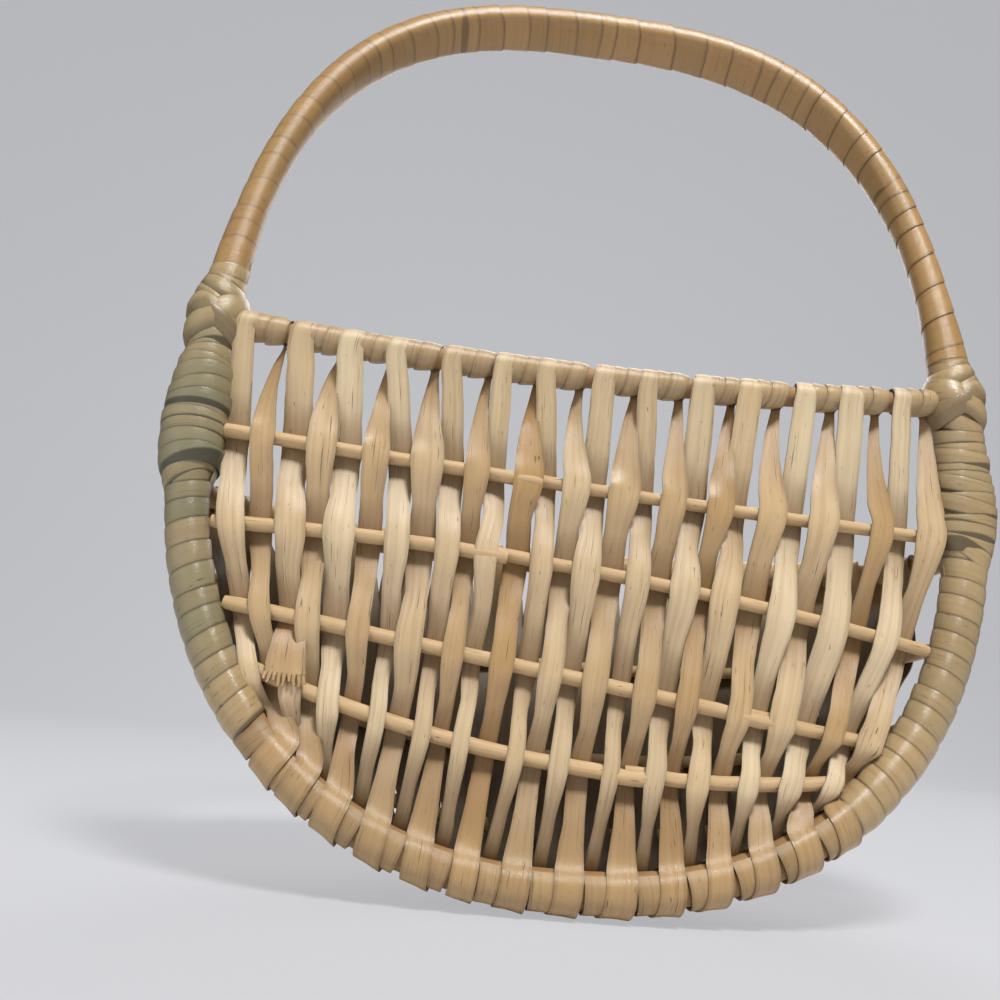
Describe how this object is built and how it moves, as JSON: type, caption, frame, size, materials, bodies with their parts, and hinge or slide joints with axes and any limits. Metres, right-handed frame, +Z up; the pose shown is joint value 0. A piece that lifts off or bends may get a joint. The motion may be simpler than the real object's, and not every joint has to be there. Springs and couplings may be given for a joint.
{
  "type": "wall basket",
  "caption": "Half-moon wall basket woven from flat splints on a bent hoop, with a bound arched handle, a flat back and a bowed open pocket.",
  "frame": {"origin": "where the basket hangs: the underside of the handle's top, in the middle of its width", "axes": "+X to the right when the flat back is seen, +Y from the wall into the room, +Z up"},
  "size_m": [0.2034, 0.0663, 0.2493],
  "materials": {
    "rod": "bare, satin",
    "stick": "bare, satin",
    "back_splint": "bare, matt, fibrous",
    "pocket_splint": "bare, matt, fibrous",
    "handle_wrap": "bare, satin",
    "side_wrap": "bare, satin"
  },
  "bodies": {
    "root": {"hoop_rod": "rod", "crossbar": "rod", "front_rim": "rod", "back_stick_1": "stick", "back_stick_2": "stick", "back_stick_3": "stick", "back_stick_4": "stick", "front_rib_1": "stick", "front_rib_2": "stick", "front_rib_3": "stick", "handle_binding": "handle_wrap", "side_binding_left": "side_wrap", "side_binding_right": "side_wrap", "back_weaver_01": "back_splint", "back_weaver_02": "back_splint", "back_weaver_03": "back_splint", "back_weaver_04": "back_splint", "back_weaver_05": "back_splint", "back_weaver_06": "back_splint", "back_weaver_07": "back_splint", "back_weaver_08": "back_splint", "back_weaver_09": "back_splint", "back_weaver_10": "back_splint", "back_weaver_11": "back_splint", "back_weaver_12": "back_splint", "back_weaver_13": "back_splint", "back_weaver_14": "back_splint", "front_weaver_01": "pocket_splint", "front_weaver_02": "pocket_splint", "front_weaver_03": "pocket_splint", "front_weaver_04": "pocket_splint", "front_weaver_05": "pocket_splint", "front_weaver_06": "pocket_splint", "front_weaver_07": "pocket_splint", "front_weaver_08": "pocket_splint", "front_weaver_09": "pocket_splint", "front_weaver_10": "pocket_splint", "front_weaver_11": "pocket_splint", "front_weaver_12": "pocket_splint", "front_weaver_13": "pocket_splint", "front_weaver_14": "pocket_splint"}
  },
  "joints": []
}
